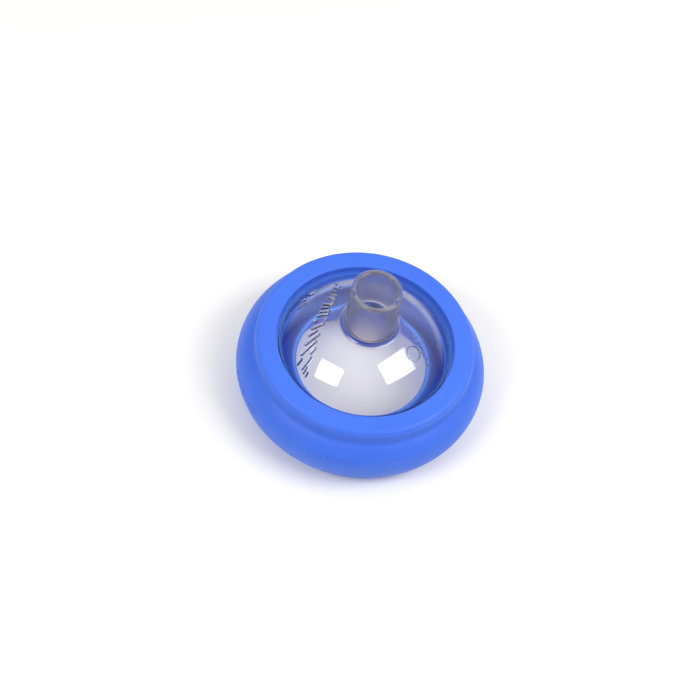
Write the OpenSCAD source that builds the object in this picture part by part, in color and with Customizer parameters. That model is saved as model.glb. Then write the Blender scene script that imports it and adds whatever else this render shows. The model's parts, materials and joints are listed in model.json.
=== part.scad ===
// Round infant resuscitation mask: a clear rigid dome with a 15 mm male connector,
// held by its rim flange in the groove of a soft silicone face cushion.
// Millimetres, +Z up, origin on the resting plane at the mask's axis.

/* [Connector] */
// Outer diameter of the male cone at its open end
connector_tip_d = 15.2; // [14.8:0.1:18.2]
// Length of cone for one millimetre of growth in diameter
connector_taper = 40; // [30:1:60]
// Length of the connector above the root fillet
connector_l = 14.2; // [10:0.1:20]
// Diameter of the gas passage through the connector
connector_bore_d = 12; // [9:0.1:12.6]
// Radius of the fillet between connector and dome
root_fillet_r = 2.4; // [0.5:0.1:3.5]

/* [Dome] */
// Outer radius of the spherical cap
cap_r = 33; // [30:0.1:40]
// Wall thickness of cap and skirt
dome_wall = 1.5; // [1.2:0.1:2.4]
// Outer diameter of the short upright skirt under the cap
skirt_d = 52.8; // [46:0.1:55]
// Height of the skirt between flange and shoulder
skirt_h = 1; // [0.6:0.1:3]
// Radius of the shoulder that joins cap and skirt
shoulder_r = 1.4; // [0.8:0.1:2]
// Width of the rim flange that the cushion grips
flange_w = 3; // [2:0.1:4.5]
// Thickness of the rim flange
flange_t = 2; // [1.5:0.1:2.5]

/* [Cushion] */
// How far the widest part of the cushion stands out past the collar
bulge_overhang = 5; // [3:0.1:7]
// Outer radius of the round section below its widest point
bulge_r = 12.1; // [11:0.1:14]
// Outer radius of the round section above its widest point
bulge_top_r = 9.4; // [8.5:0.1:12]
// Wall thickness of the soft skirt
cushion_wall = 1.6; // [1:0.1:2.2]
// Radius inside the turn at the cushion's foot
foot_inner_r = 0.4; // [0.2:0.1:2]
// Diameter of the face opening inside the turned-in flap
face_opening_d = 40.4; // [34:0.1:44]
// Height at which the flap's rounded edge begins
flap_edge_z = 12.5; // [6:0.1:15]
// Silicone outside the groove, out to the collar's upright side
collar_wall = 4; // [3.5:0.1:6]
// Radius of the collar's rounded outer edge
collar_edge_r = 1.8; // [1:0.1:3.2]
// Height of the collar's upright side
collar_side_h = 2.6; // [0.5:0.1:4]
// Radius of the hollow between collar and bulge
crease_r = 1.5; // [0.6:0.1:2.6]
// Thickness of the collar above the groove
collar_t = 4.2; // [3:0.1:5.5]
// Width of the open gap between the collar's top edge and the dome
collar_gap = 0.6; // [0.4:0.1:1.5]
// Radius of the collar's rounded inner edge
collar_inner_r = 0.5; // [0.2:0.1:0.8]
// Thickness of the silicone under the groove
under_groove_t = 1.8; // [1.2:0.1:3]

/* [Fit] */
// Clearance between the rim flange and the groove, all round
groove_gap = 0.1; // [0.05:0.01:0.2]

/* [Hidden] */
$fn = 180;
// Degrees between the points of a rounded stretch
arc_step = 5;

// Dome, from the axis outwards
bore_r = connector_bore_d / 2;
tip_r = connector_tip_d / 2;
root_r = tip_r + connector_l / connector_taper / 2;
skirt_r = skirt_d / 2;
flange_r = skirt_r + flange_w;
tip_edge_r = 0.4;

// Cushion, outwards from the dome's rim that it grips
groove_r = flange_r + groove_gap;
collar_r = groove_r + collar_wall;
cushion_r = collar_r + bulge_overhang;
bulge_c = [cushion_r - bulge_r, bulge_r];
bulge_top_c = [cushion_r - bulge_top_r, bulge_r];
// The hollow touches the collar's upright side and the top of the bulge
crease_c_r = collar_r + crease_r;
crease_rise = sqrt(pow(bulge_top_r + crease_r, 2) - pow(crease_c_r - bulge_top_c[0], 2));
crease_c = [crease_c_r, bulge_r + crease_rise];
crease_a = atan2(crease_rise, crease_c_r - bulge_top_c[0]);
collar_c = [collar_r - collar_edge_r, crease_c[1] + collar_side_h];
collar_top_z = collar_c[1] + collar_edge_r;

// Heights that the dome takes from the cushion that carries it
groove_top_z = collar_top_z - collar_t;
flange_top_z = groove_top_z - groove_gap;
flange_z = flange_top_z - flange_t;
groove_z = flange_z - groove_gap;
shoulder_z = flange_top_z + skirt_h;
shoulder_c = [skirt_r - shoulder_r, shoulder_z];
cap_z = shoulder_z - sqrt(pow(cap_r - shoulder_r, 2) - pow(shoulder_c[0], 2));
shoulder_a = atan2(shoulder_z - cap_z, shoulder_c[0]);

// The fillet at the connector's root touches the cap and the cone
root_c_r = root_r + root_fillet_r;
root_c_z = cap_z + sqrt(pow(cap_r + root_fillet_r, 2) - pow(root_c_r, 2));
root_a = atan2(root_c_z - cap_z, root_c_r);
tip_z = root_c_z + connector_l;

// Points on a round stretch about c = [r, z], from angle a to angle b
function arc(c, r, a, b) =
    let (n = max(2, ceil(abs(b - a) / arc_step)))
    [for (i = [0 : n]) c + r * [cos(a + (b - a) * i / n), sin(a + (b - a) * i / n)]];

// Angle at which a round stretch about c = [r, z] reaches the height z
function angle_at_z(c, r, z) = asin((z - c[1]) / r);

module dome_section() {
    inner_cap_r = cap_r - dome_wall;
    inner_shoulder_a = acos((skirt_r - dome_wall) / inner_cap_r);
    polygon(concat(
        // Outside, from the connector's tip down to the flange
        arc([tip_r - tip_edge_r, tip_z - tip_edge_r], tip_edge_r, 90, 0),
        arc([root_c_r, root_c_z], root_fillet_r, 180, 180 + root_a),
        arc([0, cap_z], cap_r, root_a, shoulder_a),
        arc(shoulder_c, shoulder_r, shoulder_a, 0),
        [[skirt_r, flange_top_z], [flange_r, flange_top_z], [flange_r, flange_z]],
        // Inside, from the flange up to the bore
        [[skirt_r - dome_wall, flange_z]],
        arc([0, cap_z], inner_cap_r, inner_shoulder_a, acos(bore_r / inner_cap_r)),
        [[bore_r, tip_z]]
    ));
}

module dome() {
    color([0.86, 0.85, 0.92, 0.4])
    rotate_extrude()
    dome_section();
}

// The flap rises from the foot and curves in to the face opening
foot_turn_r = cushion_wall + foot_inner_r;
foot_c = [bulge_c[0], foot_turn_r];
flap_in = foot_c[0] - foot_turn_r - face_opening_d / 2;
flap_up = flap_edge_z - foot_turn_r;
flap_a = 2 * atan(flap_in / flap_up);
flap_r = flap_up / sin(flap_a);
flap_c = [foot_c[0] - foot_turn_r - flap_r, foot_turn_r];
flap_edge_r = cushion_wall / 2;
flap_end = flap_c + (flap_r + flap_edge_r) * [cos(flap_a), sin(flap_a)];

module cushion_section() {
    mouth_r = skirt_r + collar_gap;
    neck_r = skirt_r + groove_gap;
    under_z = groove_z - under_groove_t;
    chamber_r = bulge_r - cushion_wall;
    chamber_top_r = bulge_top_r - cushion_wall;
    polygon(concat(
        // Collar, from its inner edge over the top and down to the crease
        [[neck_r, groove_top_z], [mouth_r, collar_top_z - collar_t / 2]],
        arc([mouth_r + collar_inner_r, collar_top_z - collar_inner_r], collar_inner_r, 180, 90),
        arc(collar_c, collar_edge_r, 90, 0),
        arc(crease_c, crease_r, 180, 180 + crease_a),
        // Outside of the bulge, round the foot and up the flap to its edge
        arc(bulge_top_c, bulge_top_r, crease_a, 0),
        arc(bulge_c, bulge_r, 0, -90),
        arc(foot_c, foot_turn_r, -90, -180),
        arc(flap_c, flap_r, 0, flap_a),
        arc(flap_end, flap_edge_r, flap_a + 180, flap_a),
        // Back along the inside
        arc(flap_c, flap_r + cushion_wall, flap_a, 0),
        arc(foot_c, foot_inner_r, -180, -90),
        arc(bulge_c, chamber_r, -90, 0),
        arc(bulge_top_c, chamber_top_r, 0, angle_at_z(bulge_top_c, chamber_top_r, under_z)),
        // Under the groove, then the groove itself
        [[skirt_r - dome_wall, under_z], [skirt_r - dome_wall, groove_z]],
        [[groove_r, groove_z], [groove_r, groove_top_z]]
    ));
}

module cushion() {
    color([0.22, 0.45, 0.95])
    rotate_extrude()
    cushion_section();
}

dome();
cushion();
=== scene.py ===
import json
import math
import bmesh
import bpy
from mathutils import Matrix, Vector


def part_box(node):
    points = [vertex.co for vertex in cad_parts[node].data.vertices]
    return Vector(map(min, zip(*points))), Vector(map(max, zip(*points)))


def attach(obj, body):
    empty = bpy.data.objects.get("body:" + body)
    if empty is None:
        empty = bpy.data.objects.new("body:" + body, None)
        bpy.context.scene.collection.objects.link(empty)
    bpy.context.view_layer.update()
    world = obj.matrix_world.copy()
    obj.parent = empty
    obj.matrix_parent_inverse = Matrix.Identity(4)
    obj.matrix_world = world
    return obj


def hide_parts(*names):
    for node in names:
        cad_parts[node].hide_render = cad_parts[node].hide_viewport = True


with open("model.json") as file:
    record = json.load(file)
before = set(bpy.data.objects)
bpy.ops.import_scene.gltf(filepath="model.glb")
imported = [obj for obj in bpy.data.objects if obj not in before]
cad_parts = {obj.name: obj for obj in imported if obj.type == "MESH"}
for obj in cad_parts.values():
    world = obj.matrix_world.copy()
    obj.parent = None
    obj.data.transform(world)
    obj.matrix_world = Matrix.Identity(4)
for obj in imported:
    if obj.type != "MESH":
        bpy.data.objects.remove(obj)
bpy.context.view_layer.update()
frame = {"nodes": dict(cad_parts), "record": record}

mm = 0.001
domeLow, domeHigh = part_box("dome")
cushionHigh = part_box("cushion")[1]
mountByName = {mount["name"]: mount for mount in frame["record"]["mounts"]}
print("frame loaded,", len(frame["nodes"]), "nodes")


# sections are in millimetres, as (distance from the axis, height)
def arcPoints(centre, radius, startAngle, endAngle, stepAngle):
    count = max(2, math.ceil(abs(endAngle - startAngle) / stepAngle))
    points = []
    for i in range(count + 1):
        angle = math.radians(startAngle + (endAngle - startAngle) * i / count)
        points.append((centre[0] + radius * math.cos(angle), centre[1] + radius * math.sin(angle)))
    return points


def withSupport(points, gap=0.12):
    # drops repeated points, and holds each long straight stretch flat with a point near both of its ends
    kept = []
    for i, point in enumerate(points):
        before = points[i - 1]
        span = math.dist(before, point)
        if span < 0.004:
            continue
        if span > 1.0:
            for share in (gap / span, 1 - gap / span):
                kept.append(tuple(a + (b - a) * share for a, b in zip(before, point)))
        kept.append(point)
    return kept


def spinSection(points, segments):
    bm = bmesh.new()
    ring = [bm.verts.new((r * mm, 0, z * mm)) for r, z in points]
    edges = [bm.edges.new((ring[i - 1], ring[i])) for i in range(len(ring))]
    bmesh.ops.spin(bm, geom=ring + edges, cent=(0, 0, 0), axis=(0, 0, 1), angle=2 * math.pi,
                   steps=segments, use_merge=True, use_duplicate=False)
    bmesh.ops.remove_doubles(bm, verts=bm.verts, dist=0.0005 * mm)
    bmesh.ops.recalc_face_normals(bm, faces=bm.faces)
    if bm.calc_volume(signed=True) < 0:
        bmesh.ops.reverse_faces(bm, faces=bm.faces)
    return bm


def makeObject(name, bm):
    mesh = bpy.data.meshes.new(name)
    bm.to_mesh(mesh)
    bm.free()
    piece = bpy.data.objects.new(name, mesh)
    bpy.context.scene.collection.objects.link(piece)
    return piece


# shapes of the raised marks, in metres
def barShape(length, width, height, sink):
    # a bar with rounded ends and softened top edges, along X, its foot sunk below the surface
    bm = bmesh.new()
    bmesh.ops.create_cube(bm, size=1)
    bmesh.ops.scale(bm, vec=(length, width, height + sink), verts=bm.verts)
    bmesh.ops.translate(bm, vec=(0, 0, (height - sink) / 2), verts=bm.verts)
    upright = [e for e in bm.edges if abs(e.verts[0].co.z - e.verts[1].co.z) > height / 2]
    bmesh.ops.bevel(bm, geom=upright, offset=width * 0.4, segments=4, affect="EDGES",
                    profile=0.5, material=-1)
    softenTop(bm, min(height * 0.85, width * 0.45), height)
    return bm


def discShape(radius, height, sink):
    bm = bmesh.new()
    bmesh.ops.create_cone(bm, cap_ends=True, segments=32, radius1=radius, radius2=radius, depth=height + sink)
    bmesh.ops.translate(bm, vec=(0, 0, (height - sink) / 2), verts=bm.verts)
    softenTop(bm, height * 0.5, height)
    return bm


def softenTop(bm, reach, height):
    top = [e for e in bm.edges if min(v.co.z for v in e.verts) > height - 0.01 * mm]
    bmesh.ops.bevel(bm, geom=top, offset=reach, segments=4, affect="EDGES", profile=0.5, material=-1)


def ringShape(radius, width, height, sink):
    inner = (radius - width / 2) / mm
    outer = (radius + width / 2) / mm
    top = height / mm
    edge = min(top * 0.45, (outer - inner) * 0.3)
    section = [(inner, -sink / mm), (outer, -sink / mm)]
    section += arcPoints((outer - edge, top - edge), edge, 0, 90, 30)
    section += arcPoints((inner + edge, top - edge), edge, 90, 180, 30)
    return spinSection(section, 40)


def surfacePlace(point, outward, along):
    # stands a mark on a surface: its Z is outwards and its X runs along the given direction
    zAxis = outward.normalized()
    xAxis = (along - along.dot(zAxis) * zAxis).normalized()
    yAxis = zAxis.cross(xAxis)
    return Matrix.Translation(point) @ Matrix((xAxis, yAxis, zAxis)).transposed().to_4x4()


def stamp(target, shape, place):
    held = bpy.data.meshes.new("held")
    shape.to_mesh(held)
    shape.free()
    count = len(target.verts)
    target.from_mesh(held)
    target.verts.ensure_lookup_table()
    bmesh.ops.transform(target, matrix=place, verts=target.verts[count:])
    bpy.data.meshes.remove(held)


def joinMarks(piece, marks):
    # exact union, so that the marks and the wall are one closed skin
    tool = makeObject(piece.name + "Marks", marks)
    union = piece.modifiers.new("marks", "BOOLEAN")
    union.operation = "UNION"
    union.solver = "EXACT"
    union.object = tool
    evaluated = piece.evaluated_get(bpy.context.evaluated_depsgraph_get())
    merged = bpy.data.meshes.new_from_object(evaluated)
    piece.modifiers.clear()
    piece.data = merged
    bpy.data.objects.remove(tool)


def smoothShade(piece, sharpAngle):
    mesh = piece.data
    mesh.polygons.foreach_set("use_smooth", [True] * len(mesh.polygons))
    mesh.set_sharp_from_angle(angle=math.radians(sharpAngle))
    mesh.update()


# the dome: rim flange, cap and 15 mm male connector in one moulding
domeShape = {
    "tipRadius": 7.6,
    "taper": 40,
    "connectorLength": 14.2,
    "rootFillet": 2.4,
    "capRadius": 33,
    "wall": 1.5,
    "skirtRadius": 26.4,
    "skirtHeight": 1.0,
    "shoulderRadius": 1.4,
    "flangeThickness": 2,
    "tipEdge": 0.4,
    "boreEdge": 0.4,
    "flangeEdge": 0.25,
    "innerCorner": 1.0,
    "capStep": 1.5,       # degrees between the points of the cap
    "segments": 320,
}

flangeRadius = domeHigh.x / mm
flangeBottom = domeLow.z / mm
tipHeight = domeHigh.z / mm
boreRadius = mountByName["gas_passage"]["dims"]["r_mm"]
flangeTop = flangeBottom + domeShape["flangeThickness"]
shoulderCentre = (domeShape["skirtRadius"] - domeShape["shoulderRadius"],
                  flangeTop + domeShape["skirtHeight"])
capHeight = shoulderCentre[1] - math.sqrt((domeShape["capRadius"] - domeShape["shoulderRadius"]) ** 2
                                          - shoulderCentre[0] ** 2)


def domeSection():
    shape = domeShape
    capCentre = (0, capHeight)
    outer = shape["capRadius"]
    inner = outer - shape["wall"]
    fillet = shape["rootFillet"]
    edge = shape["flangeEdge"]
    skirt = shape["skirtRadius"]
    skirtInner = skirt - shape["wall"]
    # the fillet at the connector's root touches the cap and the cone
    rootRadius = shape["tipRadius"] + shape["connectorLength"] / shape["taper"] / 2
    rootCentre = (rootRadius + fillet, tipHeight - shape["connectorLength"])
    rootAngle = math.degrees(math.atan2(rootCentre[1] - capHeight, rootCentre[0]))
    shoulderAngle = math.degrees(math.atan2(shoulderCentre[1] - capHeight, shoulderCentre[0]))
    # inside, a round corner joins skirt and cap, and another joins cap and bore
    corner = shape["innerCorner"]
    cornerRise = math.sqrt((inner - corner) ** 2 - (skirtInner - corner) ** 2)
    cornerAngle = math.degrees(math.atan2(cornerRise, skirtInner - corner))
    mouth = shape["boreEdge"]
    mouthRise = math.sqrt((inner + mouth) ** 2 - (boreRadius + mouth) ** 2)
    mouthAngle = math.degrees(math.atan2(mouthRise, boreRadius + mouth))
    tipEdge = shape["tipEdge"]
    points = arcPoints((shape["tipRadius"] - tipEdge, tipHeight - tipEdge), tipEdge, 90, 0, 18)
    points += arcPoints(rootCentre, fillet, 180, 180 + rootAngle, 9)
    points += arcPoints(capCentre, outer, rootAngle, shoulderAngle, shape["capStep"])
    points += arcPoints(shoulderCentre, shape["shoulderRadius"], shoulderAngle, 0, 6)
    points += arcPoints((skirt + edge, flangeTop + edge), edge, 180, 270, 22)
    points += arcPoints((flangeRadius - edge, flangeTop - edge), edge, 90, 0, 22)
    points += arcPoints((flangeRadius - edge, flangeBottom + edge), edge, 0, -90, 22)
    points += arcPoints((skirtInner + edge, flangeBottom + edge), edge, -90, -180, 22)
    points += arcPoints((skirtInner - corner, capHeight + cornerRise), corner, 0, cornerAngle, 6)
    points += arcPoints(capCentre, inner, cornerAngle, mouthAngle, shape["capStep"])
    points += arcPoints((boreRadius + mouth, capHeight + mouthRise), mouth, 180 + mouthAngle, 180, 18)
    points += arcPoints((boreRadius + mouth, tipHeight - mouth), mouth, 180, 90, 18)
    return withSupport(points)


domeMarks = {
    "height": 0.55,
    "sink": 0.5,
    "stroke": 1.05,
    "pitch": 1.65,         # distance between neighbours along the band, millimetres
    "slants": (12, 13, 11, 13, 11),
    # the band of raised marks lies between two nearly parallel straight lines across the cap
    "bandFrom": -131,
    "bandTo": -229,
    "innerLine": (12.1, -188),   # distance from the axis and the angle it faces
    "outerLine": (15.6, -194),
    "bandReach": 24.1,           # no mark goes further out
    "bandMargin": 0.4,           # the pitch is measured this far inside the inner line
    "longBar": 4,                # shorter bars than this are thinner
    "thinShare": 0.75,
    "splitLength": 3,            # shortest bar that is split
    "splitGap": 0.35,
    "shortShare": 0.72,
    "lowShare": 0.8,             # height of the single marks, against the band's
    # single marks: size in millimetres, angle round the dome, distance from the axis, slant
    "disc": {"radius": 1.9, "angle": 149, "reach": 22.2},
    "dot": {"radius": 0.45, "angle": 1, "reach": 21.1},
    "ring": {"radius": 2.3, "width": 0.5, "angle": -22, "reach": 15.7},
    "bars": ((3.2, 165, 21.8), (1.8, 159.5, 22.4)),   # length, angle, distance
    "barWidth": 0.6,
    "barSlant": 52,
    "fanCount": 6,               # a fan of short bars beside the ring
    "fanLengths": (1.2, 1.9),
    "fanWidth": 0.5,
    "fanAngle": (-3, -3.1),      # of the first bar, and the step to the next
    "fanReach": (13.4, 1.5),
    "fanSlant": (62, -4),
}


def onCap(angle, radius):
    # a point on the cap's outer face and the direction away from its centre
    turn = math.radians(angle)
    rise = math.sqrt(domeShape["capRadius"] ** 2 - radius ** 2)
    centre = Vector((0, 0, capHeight * mm))
    point = Vector((radius * mm * math.cos(turn), radius * mm * math.sin(turn), (capHeight + rise) * mm))
    return point, point - centre


def stampOnCap(target, shape, angle, radius, slant=0.0):
    point, outward = onCap(angle, radius)
    turn = math.radians(angle)
    along = Vector((math.cos(turn), math.sin(turn), 0))
    place = surfacePlace(point, outward, along) @ Matrix.Rotation(math.radians(slant), 4, "Z")
    stamp(target, shape, place)


def bandAt(angle):
    # how far from the axis the band starts and ends at an angle round the dome
    reaches = []
    for line in ("innerLine", "outerLine"):
        distance, facing = domeMarks[line]
        reaches.append(min(distance / math.cos(math.radians(angle - facing)), domeMarks["bandReach"]))
    return reaches


def stampBar(target, length, width, height, angle, reach, slant):
    shape = barShape(length * mm, width * mm, height * mm, domeMarks["sink"] * mm)
    stampOnCap(target, shape, angle, reach, slant)


def addBand(target):
    # generic relief: full, split and short bars, side by side along the band
    # of every five, the second is short and the fourth is split
    marks = domeMarks
    stroke, height = marks["stroke"], marks["height"]
    angle, count = marks["bandFrom"], 0
    while angle > marks["bandTo"]:
        low, high = bandAt(angle)
        middle, length = (low + high) / 2, high - low
        thin = stroke if length > marks["longBar"] else stroke * marks["thinShare"]
        kind = count % len(marks["slants"])
        slant = marks["slants"][kind]
        if kind == 3 and length > marks["splitLength"]:
            part = (length - thin - marks["splitGap"]) / 2
            for place in (low + part / 2, high - part / 2):
                stampBar(target, part, thin, height, angle, place, slant)
        elif kind == 1:
            part = length * marks["shortShare"]
            stampBar(target, part, thin, height, angle, high - part / 2, slant)
        else:
            stampBar(target, length, thin, height, angle, middle, slant)
        angle -= math.degrees((marks["pitch"] * thin / stroke) / (low + marks["bandMargin"]))
        count += 1
    print("band marks:", count)


def addDomeMarks(target):
    marks = domeMarks
    height, sink = marks["height"], marks["sink"]
    low = height * marks["lowShare"]
    addBand(target)
    for name in ("disc", "dot"):
        mark = marks[name]
        shape = discShape(mark["radius"] * mm, low * mm, sink * mm)
        stampOnCap(target, shape, mark["angle"], mark["reach"])
    ring = marks["ring"]
    shape = ringShape(ring["radius"] * mm, ring["width"] * mm, low * mm, sink * mm)
    stampOnCap(target, shape, ring["angle"], ring["reach"])
    for length, angle, reach in marks["bars"]:
        stampBar(target, length, marks["barWidth"], height, angle, reach, marks["barSlant"])
    for i in range(marks["fanCount"]):
        angle, reach, slant = (start + step * i for start, step in
                               (marks["fanAngle"], marks["fanReach"], marks["fanSlant"]))
        stampBar(target, marks["fanLengths"][i % 2], marks["fanWidth"], low, angle, reach, slant)


clearDome = makeObject("clearDome", spinSection(domeSection(), domeShape["segments"]))
domeMarkSolids = bmesh.new()
addDomeMarks(domeMarkSolids)
joinMarks(clearDome, domeMarkSolids)
smoothShade(clearDome, 40)
print("dome:", len(clearDome.data.polygons), "faces")


# the cushion: collar, groove, bulging skirt and inner flap in one soft moulding
cushionShape = {
    "bulgeRadius": 12.1,
    "shoulderRadius": 9.4,  # above the widest point the section turns in faster
    "wall": 1.6,
    "footInner": 0.4,       # inside the turn at the foot
    "openingRadius": 20.2,  # face opening, inside the flap
    "flapEdgeHeight": 12.5,
    "collarRadius": 33.5,
    "collarEdge": 1.8,
    "creaseRadius": 1.5,
    "collarThickness": 4.2,
    "collarGap": 0.6,
    "innerEdge": 0.5,
    "underGroove": 1.8,
    "grooveGap": 0.1,
    "smallEdge": 0.2,
    "chamberCorner": 0.8,
    "partingAngle": -32,   # where the mould halves met, on the round section
    "partingHeight": 0.1,
    "partingWidth": 0.3,
    "roundStep": 2.0,
    "segments": 360,
}

cushionRadius = cushionHigh.x / mm
collarTop = cushionHigh.z / mm
bulgeCentre = (cushionRadius - cushionShape["bulgeRadius"], cushionShape["bulgeRadius"])
shoulderCushion = (cushionRadius - cushionShape["shoulderRadius"], cushionShape["bulgeRadius"])


def bulgeArc(startAngle, endAngle):
    return arcPoints(bulgeCentre, cushionShape["bulgeRadius"], startAngle, endAngle,
                     cushionShape["roundStep"])


def partingRidge():
    shape = cushionShape
    halfAngle = math.degrees(shape["partingWidth"] / 2 / shape["bulgeRadius"])
    points = []
    for share in (-1, -0.6, -0.25, 0.25, 0.6, 1):
        rise = shape["partingHeight"] * (1 - share * share)
        angle = math.radians(shape["partingAngle"] - share * halfAngle)
        reach = shape["bulgeRadius"] + rise
        points.append((bulgeCentre[0] + reach * math.cos(angle), bulgeCentre[1] + reach * math.sin(angle)))
    return points, halfAngle


def flapShape():
    # the flap rises from the foot and curves in to the face opening
    shape = cushionShape
    footTurn = shape["wall"] + shape["footInner"]
    footCentre = (bulgeCentre[0], footTurn)
    flapIn = footCentre[0] - footTurn - shape["openingRadius"]
    flapUp = shape["flapEdgeHeight"] - footTurn
    flapAngle = math.degrees(2 * math.atan(flapIn / flapUp))
    flapRadius = flapUp / math.sin(math.radians(flapAngle))
    flapCentre = (footCentre[0] - footTurn - flapRadius, footTurn)
    return footCentre, footTurn, flapCentre, flapRadius, flapAngle


def cushionSection():
    shape = cushionShape
    bulge, wall, edge = shape["bulgeRadius"], shape["wall"], shape["smallEdge"]
    # collar and the round hollow that joins it to the bulge
    collarEdge = shape["collarEdge"]
    collarCentre = (shape["collarRadius"] - collarEdge, collarTop - collarEdge)
    shoulder = shoulderCushion
    crease = shape["creaseRadius"]
    collarWall = shape["collarRadius"]
    side = shape["shoulderRadius"] + crease
    creaseRadial = collarWall + crease
    creaseRise = math.sqrt(side ** 2 - (creaseRadial - shoulder[0]) ** 2)
    creaseCentre = (creaseRadial, shoulder[1] + creaseRise)
    creaseAngle = math.degrees(math.atan2(creaseRise, creaseRadial - shoulder[0]))
    # the groove is the flange with its clearance, so its sizes come from the dome
    gap = shape["grooveGap"]
    grooveTop, grooveBottom = flangeTop + gap, flangeBottom - gap
    grooveRadius = flangeRadius + gap
    neck = domeShape["skirtRadius"] + gap
    mouth = domeShape["skirtRadius"] + shape["collarGap"]
    ledge = domeShape["skirtRadius"] - domeShape["wall"]
    under = grooveBottom - shape["underGroove"]
    footCentre, footTurn, flapCentre, flapRadius, flapAngle = flapShape()
    flapMiddle = flapRadius + wall / 2
    flapEnd = (flapCentre[0] + flapMiddle * math.cos(math.radians(flapAngle)),
               flapCentre[1] + flapMiddle * math.sin(math.radians(flapAngle)))
    # chamber behind the bulge, with a round corner under the groove
    chamber, chamberTop = bulge - wall, shape["shoulderRadius"] - wall
    corner = shape["chamberCorner"]
    cornerRise = under - corner - shoulder[1]
    cornerReach = math.sqrt((chamberTop - corner) ** 2 - cornerRise ** 2)
    cornerAngle = math.degrees(math.atan2(cornerRise, cornerReach))
    ridge, halfAngle = partingRidge()
    ridgeAngle = shape["partingAngle"]
    inner = shape["innerEdge"]
    points = [(mouth, collarTop - shape["collarThickness"] / 2)]
    points += arcPoints((mouth + inner, collarTop - inner), inner, 180, 90, 15)
    points += arcPoints(collarCentre, collarEdge, 90, 0, 6)
    points += arcPoints(creaseCentre, crease, 180, 180 + creaseAngle, 6)
    points += arcPoints(shoulder, shape["shoulderRadius"], creaseAngle, 0, shape["roundStep"])
    points += bulgeArc(0, ridgeAngle + halfAngle)
    points += ridge
    points += bulgeArc(ridgeAngle - halfAngle, -90)
    points += arcPoints(footCentre, footTurn, -90, -180, 10)
    points += arcPoints(flapCentre, flapRadius, 0, flapAngle, 3)
    points += arcPoints(flapEnd, wall / 2, flapAngle + 180, flapAngle, 15)
    points += arcPoints(flapCentre, flapRadius + wall, flapAngle, 0, 3)
    points += arcPoints(footCentre, shape["footInner"], -180, -90, 15)
    points += arcPoints(bulgeCentre, chamber, -90, 0, 4)
    points += arcPoints(shoulder, chamberTop, 0, cornerAngle, 4)
    points += arcPoints((shoulder[0] + cornerReach, under - corner), corner, cornerAngle, 90, 15)
    points += arcPoints((ledge + edge, under + edge), edge, 270, 180, 30)
    points += arcPoints((ledge + edge, grooveBottom - edge), edge, 180, 90, 30)
    points += arcPoints((grooveRadius - edge, grooveBottom + edge), edge, -90, 0, 30)
    points += arcPoints((grooveRadius - edge, grooveTop - edge), edge, 0, 90, 30)
    points += arcPoints((neck + edge, grooveTop + edge), edge, 270, 200, 30)
    return withSupport(points)


cushionMarks = {
    "height": 0.16,
    "sink": 0.4,
    "stroke": 0.55,
    "pattern": (1.0, 0.55, 0.55, 0.8, 0.55),   # lengths that repeat along a row of low ribs
    "frontCount": 13,      # at the front, standing up the bulge
    "frontFrom": -106,
    "frontTo": -81,
    "frontRise": 15,       # degrees up the round section
    "frontLength": 2.8,
    "leftCount": 12,
    "leftFrom": -160,
    "leftTo": -136,
    "leftRise": 5,
    "leftLength": 2.2,
}


def onBulge(angle, rise):
    turn, lift = math.radians(angle), math.radians(rise)
    outward = Vector((math.cos(lift) * math.cos(turn), math.cos(lift) * math.sin(turn), math.sin(lift)))
    centre = Vector((bulgeCentre[0] * math.cos(turn), bulgeCentre[0] * math.sin(turn), bulgeCentre[1]))
    upward = Vector((-math.sin(lift) * math.cos(turn), -math.sin(lift) * math.sin(turn), math.cos(lift)))
    return (centre + cushionShape["bulgeRadius"] * outward) * mm, outward, upward


def stampOnBulge(target, shape, angle, rise):
    point, outward, upward = onBulge(angle, rise)
    stamp(target, shape, surfacePlace(point, outward, upward))


def addCushionMarks(target):
    marks = cushionMarks
    stroke, height, sink = marks["stroke"] * mm, marks["height"] * mm, marks["sink"] * mm
    for side in ("front", "left"):
        count = marks[side + "Count"]
        for i in range(count):
            angle = marks[side + "From"] + (marks[side + "To"] - marks[side + "From"]) * i / (count - 1)
            length = marks[side + "Length"] * marks["pattern"][i % len(marks["pattern"])]
            shape = barShape(length * mm, stroke, height, sink)
            stampOnBulge(target, shape, angle, marks[side + "Rise"])


def paintChamberLight(piece):
    # marks the inside of the cushion's chamber, where a paler colour is painted in as painted light for the
    # shaded hollow
    wall = cushionShape["wall"]
    flapCentre, flapRadius = flapShape()[2:4]
    values = []
    for vertex in piece.data.vertices:
        place = (math.hypot(vertex.co.x, vertex.co.y) / mm, vertex.co.z / mm)
        behindWall = math.dist(place, bulgeCentre) < cushionShape["bulgeRadius"] - wall + 0.3
        behindFlap = math.dist(place, flapCentre) > flapRadius + wall * 0.6
        values.append(1.0 if behindWall and behindFlap else 0.0)
    attribute = piece.data.attributes.new("chamber", "FLOAT", "POINT")
    attribute.data.foreach_set("value", values)


siliconeCushion = makeObject("siliconeCushion", spinSection(cushionSection(), cushionShape["segments"]))
cushionMarkSolids = bmesh.new()
addCushionMarks(cushionMarkSolids)
joinMarks(siliconeCushion, cushionMarkSolids)
smoothShade(siliconeCushion, 50)
# painted light: the chamber's points get the mask for the paler colour
paintChamberLight(siliconeCushion)
print("cushion:", len(siliconeCushion.data.polygons), "faces")


def addNode(tree, kind, place, **values):
    node = tree.nodes.new(kind)
    node.location = place
    for name, value in values.items():
        setattr(node, name, value)
    return node


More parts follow.
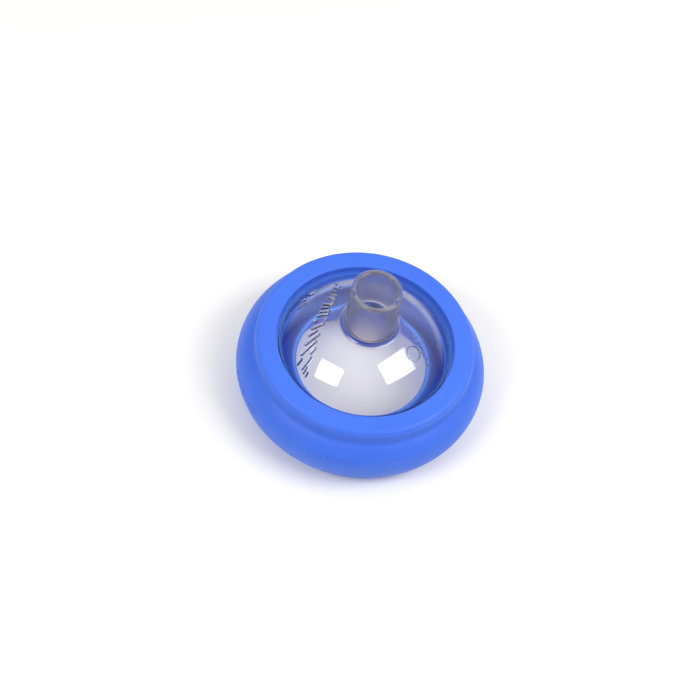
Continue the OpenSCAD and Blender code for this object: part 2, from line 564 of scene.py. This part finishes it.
def buildGrainGroup():
    # fine moulding texture over a slow flow, as a height and as a mask that varies over the surface
    group = bpy.data.node_groups.new("mouldedGrain", "ShaderNodeTree")
    sockets = group.interface
    sockets.new_socket(name="Vector", in_out="INPUT", socket_type="NodeSocketVector")
    for name, value in (("Grain Scale", 4000), ("Flow Scale", 60), ("Grain Share", 0.5)):
        socket = sockets.new_socket(name=name, in_out="INPUT", socket_type="NodeSocketFloat")
        socket.default_value = value
    sockets.new_socket(name="Height", in_out="OUTPUT", socket_type="NodeSocketFloat")
    sockets.new_socket(name="Variation", in_out="OUTPUT", socket_type="NodeSocketFloat")
    entry = addNode(group, "NodeGroupInput", (-700, 0))
    leave = addNode(group, "NodeGroupOutput", (500, 0))
    grain = addNode(group, "ShaderNodeTexNoise", (-400, 150))
    grain.inputs["Detail"].default_value = 3
    flow = addNode(group, "ShaderNodeTexNoise", (-400, -150))
    flow.inputs["Detail"].default_value = 2
    blend = addNode(group, "ShaderNodeMix", (0, 100), data_type="FLOAT")
    spread = addNode(group, "ShaderNodeMapRange", (0, -200))
    spread.inputs["From Min"].default_value = 0.3
    spread.inputs["From Max"].default_value = 0.7
    join = group.links.new
    join(entry.outputs["Vector"], grain.inputs["Vector"])
    join(entry.outputs["Vector"], flow.inputs["Vector"])
    join(entry.outputs["Grain Scale"], grain.inputs["Scale"])
    join(entry.outputs["Flow Scale"], flow.inputs["Scale"])
    join(entry.outputs["Grain Share"], blend.inputs[0])
    join(flow.outputs["Fac"], blend.inputs[2])
    join(grain.outputs["Fac"], blend.inputs[3])
    join(flow.outputs["Fac"], spread.inputs["Value"])
    join(blend.outputs[0], leave.inputs["Height"])
    join(spread.outputs["Result"], leave.inputs["Variation"])
    return group


def buildDustGroup():
    # scattered specks, as a mask
    group = bpy.data.node_groups.new("fineDust", "ShaderNodeTree")
    sockets = group.interface
    sockets.new_socket(name="Vector", in_out="INPUT", socket_type="NodeSocketVector")
    for name, value in (("Speck Scale", 900), ("Speck Size", 0.12), ("Amount", 0.5)):
        socket = sockets.new_socket(name=name, in_out="INPUT", socket_type="NodeSocketFloat")
        socket.default_value = value
    sockets.new_socket(name="Mask", in_out="OUTPUT", socket_type="NodeSocketFloat")
    entry = addNode(group, "NodeGroupInput", (-700, 0))
    leave = addNode(group, "NodeGroupOutput", (500, 0))
    cells = addNode(group, "ShaderNodeTexVoronoi", (-400, 100))
    patch = addNode(group, "ShaderNodeTexNoise", (-400, -200))
    patch.inputs["Scale"].default_value = 120
    inside = addNode(group, "ShaderNodeMath", (-150, 100), operation="LESS_THAN")
    where = addNode(group, "ShaderNodeMapRange", (-150, -200))
    where.inputs["From Min"].default_value = 0.5
    where.inputs["From Max"].default_value = 0.7
    both = addNode(group, "ShaderNodeMath", (50, 0), operation="MULTIPLY")
    scaled = addNode(group, "ShaderNodeMath", (250, 0), operation="MULTIPLY")
    join = group.links.new
    join(entry.outputs["Vector"], cells.inputs["Vector"])
    join(entry.outputs["Vector"], patch.inputs["Vector"])
    join(entry.outputs["Speck Scale"], cells.inputs["Scale"])
    join(cells.outputs["Distance"], inside.inputs[0])
    join(entry.outputs["Speck Size"], inside.inputs[1])
    join(patch.outputs["Fac"], where.inputs["Value"])
    join(inside.outputs[0], both.inputs[0])
    join(where.outputs["Result"], both.inputs[1])
    join(both.outputs[0], scaled.inputs[0])
    join(entry.outputs["Amount"], scaled.inputs[1])
    join(scaled.outputs[0], leave.inputs["Mask"])
    return group


grainGroup = buildGrainGroup()
dustGroup = buildDustGroup()


def placeGroup(tree, group, place, coords, values):
    node = addNode(tree, "ShaderNodeGroup", place, node_tree=group)
    for name, value in values.items():
        node.inputs[name].default_value = value
    tree.links.new(coords, node.inputs["Vector"])
    return node


def roughBetween(tree, grain, low, high):
    # roughness that follows the grain's slow variation
    rough = addNode(tree, "ShaderNodeMapRange", (-300, -50))
    rough.inputs["To Min"].default_value = low
    rough.inputs["To Max"].default_value = high
    tree.links.new(grain.outputs["Variation"], rough.inputs["Value"])
    return rough


def addBump(tree, grain, shader, strength, depth):
    bump = addNode(tree, "ShaderNodeBump", (100, -300))
    bump.inputs["Strength"].default_value = strength
    bump.inputs["Distance"].default_value = depth * mm
    tree.links.new(grain.outputs["Height"], bump.inputs["Height"])
    tree.links.new(bump.outputs["Normal"], shader.inputs["Normal"])


def newMaterial(name):
    material = bpy.data.materials.new(name)
    material.use_nodes = True
    tree = material.node_tree
    tree.nodes.clear()
    output = addNode(tree, "ShaderNodeOutputMaterial", (900, 0))
    shader = addNode(tree, "ShaderNodeBsdfPrincipled", (400, 0))
    coords = addNode(tree, "ShaderNodeTexCoord", (-900, 0)).outputs["Object"]
    return material, tree, output, shader, coords


siliconeLook = {
    "colour": (0.056, 0.178, 0.80, 1),
    "colourDeep": (0.050, 0.163, 0.76, 1),
    "colourInsidePaintedLight": (0.105, 0.29, 0.95, 1),   # painted light: the shaded chamber behind the bulge is painted paler
    "dustColour": (0.25, 0.36, 0.72, 1),
    "grain": {"Grain Scale": 3200, "Flow Scale": 45, "Grain Share": 0.8},
    "dust": {"Speck Scale": 700, "Speck Size": 0.14, "Amount": 0.22},
    "roughLow": 0.42,
    "roughHigh": 0.54,
    "grainDepth": 0.012,    # millimetres
    "grainStrength": 0.35,
    "scatter": 0.45,        # light let through the thin walls
    "scatterReach": 3.0,    # millimetres
    "scatterTint": (0.15, 0.35, 1.0),
    "refraction": 1.41,
}


def siliconeMaterial():
    look = siliconeLook
    material, tree, output, shader, coords = newMaterial("blueSilicone")
    join = tree.links.new
    grain = placeGroup(tree, grainGroup, (-600, 0), coords, look["grain"])
    dust = placeGroup(tree, dustGroup, (-600, -300), coords, look["dust"])
    tone = addNode(tree, "ShaderNodeMix", (-300, 200), data_type="RGBA")
    tone.inputs[6].default_value = look["colour"]
    tone.inputs[7].default_value = look["colourDeep"]
    join(grain.outputs["Variation"], tone.inputs[0])
    # painted light: the chamber behind the bulge is painted paler, standing in for light in the shaded hollow
    inside = addNode(tree, "ShaderNodeAttribute", (-500, 500), attribute_name="chamber")
    paler = addNode(tree, "ShaderNodeMix", (-150, 350), data_type="RGBA")
    paler.inputs[7].default_value = look["colourInsidePaintedLight"]
    join(inside.outputs["Fac"], paler.inputs[0])
    join(tone.outputs[2], paler.inputs[6])
    dusty = addNode(tree, "ShaderNodeMix", (0, 200), data_type="RGBA")
    dusty.inputs[7].default_value = look["dustColour"]
    join(dust.outputs["Mask"], dusty.inputs[0])
    join(paler.outputs[2], dusty.inputs[6])
    join(dusty.outputs[2], shader.inputs["Base Color"])
    rough = roughBetween(tree, grain, look["roughLow"], look["roughHigh"])
    join(rough.outputs["Result"], shader.inputs["Roughness"])
    addBump(tree, grain, shader, look["grainStrength"], look["grainDepth"])
    shader.inputs["IOR"].default_value = look["refraction"]
    shader.inputs["Subsurface Weight"].default_value = look["scatter"]
    shader.inputs["Subsurface Radius"].default_value = look["scatterTint"]
    shader.inputs["Subsurface Scale"].default_value = look["scatterReach"] * mm
    join(shader.outputs["BSDF"], output.inputs["Surface"])
    return material


plasticLook = {
    "colour": (0.955, 0.95, 0.94, 1),
    "colourHandled": (0.88, 0.87, 0.865, 1),   # in the specks
    "grain": {"Grain Scale": 900, "Flow Scale": 70, "Grain Share": 0.08},
    "dust": {"Speck Scale": 500, "Speck Size": 0.06, "Amount": 0.5},
    "roughLow": 0.015,
    "roughHigh": 0.05,
    "flowDepth": 0.02,      # millimetres
    "flowStrength": 0.25,
    "clearness": 0.99,      # the rest is a milky haze
    "tubeColour": (0.75, 0.685, 0.68, 1),
    "tubeFrom": 33.2,       # height where the tube's colour starts to turn darker and greyer, millimetres
    "tubeTo": 36.6,
    "tubeRough": 0.2,
    "shadowTint": (0.95, 0.945, 0.935, 1),
    "refraction": 1.58,
}


def plasticMaterial():
    look = plasticLook
    material, tree, output, shader, coords = newMaterial("clearPlastic")
    join = tree.links.new
    grain = placeGroup(tree, grainGroup, (-600, 0), coords, look["grain"])
    dust = placeGroup(tree, dustGroup, (-600, -300), coords, look["dust"])
    tone = addNode(tree, "ShaderNodeMix", (-100, 200), data_type="RGBA")
    tone.inputs[6].default_value = look["colour"]
    tone.inputs[7].default_value = look["colourHandled"]
    join(dust.outputs["Mask"], tone.inputs[0])
    split = addNode(tree, "ShaderNodeSeparateXYZ", (-700, 400))
    onTube = addNode(tree, "ShaderNodeMapRange", (-500, 400), interpolation_type="SMOOTHSTEP")
    onTube.inputs["From Min"].default_value = look["tubeFrom"] * mm
    onTube.inputs["From Max"].default_value = look["tubeTo"] * mm
    join(coords, split.inputs["Vector"])
    join(split.outputs["Z"], onTube.inputs["Value"])
    tubeTint = addNode(tree, "ShaderNodeMix", (100, 250), data_type="RGBA")
    tubeTint.inputs[7].default_value = look["tubeColour"]
    join(onTube.outputs["Result"], tubeTint.inputs[0])
    join(tone.outputs[2], tubeTint.inputs[6])
    join(tubeTint.outputs[2], shader.inputs["Base Color"])
    shader.inputs["Transmission Weight"].default_value = look["clearness"]
    rough = roughBetween(tree, grain, look["roughLow"], look["roughHigh"])
    frosted = addNode(tree, "ShaderNodeMix", (-100, -50), data_type="FLOAT")
    frosted.inputs[3].default_value = look["tubeRough"]
    join(onTube.outputs["Result"], frosted.inputs[0])
    join(rough.outputs["Result"], frosted.inputs[2])
    join(frosted.outputs[0], shader.inputs["Roughness"])
    addBump(tree, grain, shader, look["flowStrength"], look["flowDepth"])
    shader.inputs["IOR"].default_value = look["refraction"]
    # light from lamps and from the floor reaches what is under the dome
    path = addNode(tree, "ShaderNodeLightPath", (300, 400))
    passes = addNode(tree, "ShaderNodeMath", (500, 300), operation="MAXIMUM")
    join(path.outputs["Is Shadow Ray"], passes.inputs[0])
    join(path.outputs["Is Diffuse Ray"], passes.inputs[1])
    clear = addNode(tree, "ShaderNodeBsdfTransparent", (500, 100))
    clear.inputs["Color"].default_value = look["shadowTint"]
    mixed = addNode(tree, "ShaderNodeMixShader", (700, 100))
    join(passes.outputs[0], mixed.inputs[0])
    join(shader.outputs["BSDF"], mixed.inputs[1])
    join(clear.outputs["BSDF"], mixed.inputs[2])
    join(mixed.outputs["Shader"], output.inputs["Surface"])
    return material


siliconeCushion.data.materials.clear()
siliconeCushion.data.materials.append(siliconeMaterial())
clearDome.data.materials.clear()
clearDome.data.materials.append(plasticMaterial())
print("materials ready")

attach(clearDome, "dome")
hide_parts("dome")
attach(siliconeCushion, "cushion")
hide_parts("cushion")


# floor, light and camera
stageLook = {
    "floorSize": 6.0,
    "floorColour": (0.94, 0.92, 0.885, 1),
    "grain": {"Grain Scale": 600, "Flow Scale": 3, "Grain Share": 0.5},
    "floorRoughLow": 0.75,
    "floorRoughHigh": 0.85,
    "floorShine": 0.2,
    "skyLean": (0, 0.42, 0.9),   # direction of the brightest sky
    "skyLow": 0.04,              # brightness at right angles to it
    "skyHigh": 0.92,             # and along it
    "skySeen": 0.93,             # brightness behind the object
}


def makeFloor():
    bm = bmesh.new()
    bmesh.ops.create_grid(bm, x_segments=1, y_segments=1, size=stageLook["floorSize"] / 2)
    floor = makeObject("paleFloor", bm)
    material, tree, output, shader, coords = newMaterial("palePaper")
    grain = placeGroup(tree, grainGroup, (-600, 0), coords, stageLook["grain"])
    rough = roughBetween(tree, grain, stageLook["floorRoughLow"], stageLook["floorRoughHigh"])
    tree.links.new(rough.outputs["Result"], shader.inputs["Roughness"])
    shader.inputs["Base Color"].default_value = stageLook["floorColour"]
    shader.inputs["Specular IOR Level"].default_value = stageLook["floorShine"]
    tree.links.new(shader.outputs["BSDF"], output.inputs["Surface"])
    floor.data.materials.append(material)


def makeSky():
    world = bpy.data.worlds.new("studio")
    bpy.context.scene.world = world
    world.use_nodes = True
    tree = world.node_tree
    tree.nodes.clear()
    output = addNode(tree, "ShaderNodeOutputWorld", (400, 0))
    lit = addNode(tree, "ShaderNodeBackground", (0, 100))
    coords = addNode(tree, "ShaderNodeTexCoord", (-800, 100))
    towards = addNode(tree, "ShaderNodeVectorMath", (-600, 100), operation="DOT_PRODUCT")
    towards.inputs[1].default_value = stageLook["skyLean"]
    rise = addNode(tree, "ShaderNodeMapRange", (-300, 100))
    rise.inputs["To Min"].default_value = stageLook["skyLow"]
    rise.inputs["To Max"].default_value = stageLook["skyHigh"]
    tree.links.new(coords.outputs["Generated"], towards.inputs[0])
    tree.links.new(towards.outputs["Value"], rise.inputs["Value"])
    tree.links.new(rise.outputs["Result"], lit.inputs["Strength"])
    seen = addNode(tree, "ShaderNodeBackground", (0, -100))
    seen.inputs["Strength"].default_value = stageLook["skySeen"]
    for node in (lit, seen):
        node.inputs["Color"].default_value = (1, 1, 1, 1)
    path = addNode(tree, "ShaderNodeLightPath", (0, 400))
    mixed = addNode(tree, "ShaderNodeMixShader", (200, 0))
    tree.links.new(path.outputs["Is Camera Ray"], mixed.inputs[0])
    tree.links.new(lit.outputs["Background"], mixed.inputs[1])
    tree.links.new(seen.outputs["Background"], mixed.inputs[2])
    tree.links.new(mixed.outputs["Shader"], output.inputs["Surface"])


# angles are seen from the object: bearing turns from -Y towards +X, height is above the floor
lamps = {
    "rightBox": {"bearing": 81, "height": 52, "distance": 0.8, "size": (0.53, 0.33), "turn": -28,
                 "radiance": 6.4},
    "leftBox": {"bearing": -48, "height": 46, "distance": 0.8, "size": (0.38, 0.275), "turn": 25,
                "radiance": 8.2},
}


def makeLamp(name, lamp):
    bearing, height = math.radians(lamp["bearing"]), math.radians(lamp["height"])
    outward = Vector((math.cos(height) * math.sin(bearing), -math.cos(height) * math.cos(bearing),
                      math.sin(height)))
    width, depth = lamp["size"]
    light = bpy.data.lights.new(name, "AREA")
    light.shape = "RECTANGLE"
    light.size = width
    light.size_y = depth
    light.energy = lamp["radiance"] * math.pi * width * depth
    holder = bpy.data.objects.new(name, light)
    bpy.context.scene.collection.objects.link(holder)
    sideways = Vector((0, 0, 1)).cross(outward).normalized()
    upright = outward.cross(sideways)
    turn = Matrix((sideways, upright, outward)).transposed().to_4x4()
    holder.matrix_world = (Matrix.Translation(outward * lamp["distance"]) @ turn
                           @ Matrix.Rotation(math.radians(lamp["turn"]), 4, "Z"))


view = {
    "focalLength": 82.3,     # millimetres, on a sensor 36 mm wide
    "sensor": 36,
    "height": 56.12,         # degrees above the floor
    "roll": -12.05,
    "distance": 0.4971,
    "aim": (-0.0041, 0.0048),    # to the right and up from the axis, at the aim height
    "aimHeight": 0.0095,
}


def makeCamera():
    height, roll = math.radians(view["height"]), math.radians(view["roll"])
    back = Vector((0, -math.cos(height), math.sin(height)))
    right = Vector((1, 0, 0))
    up = back.cross(right)
    aim = Vector((0, 0, view["aimHeight"])) + view["aim"][0] * right + view["aim"][1] * up
    cameraRight = math.cos(roll) * right - math.sin(roll) * up
    cameraUp = math.sin(roll) * right + math.cos(roll) * up
    data = bpy.data.cameras.new("camera")
    data.lens = view["focalLength"]
    data.sensor_width = view["sensor"]
    camera = bpy.data.objects.new("camera", data)
    bpy.context.scene.collection.objects.link(camera)
    turn = Matrix((cameraRight, cameraUp, back)).transposed().to_4x4()
    camera.matrix_world = Matrix.Translation(aim + back * view["distance"]) @ turn
    bpy.context.scene.camera = camera


makeFloor()
makeSky()
for lampName, lampValues in lamps.items():
    makeLamp(lampName, lampValues)
makeCamera()
bpy.context.scene.view_settings.view_transform = "Standard"
print("stage, lights and camera ready")
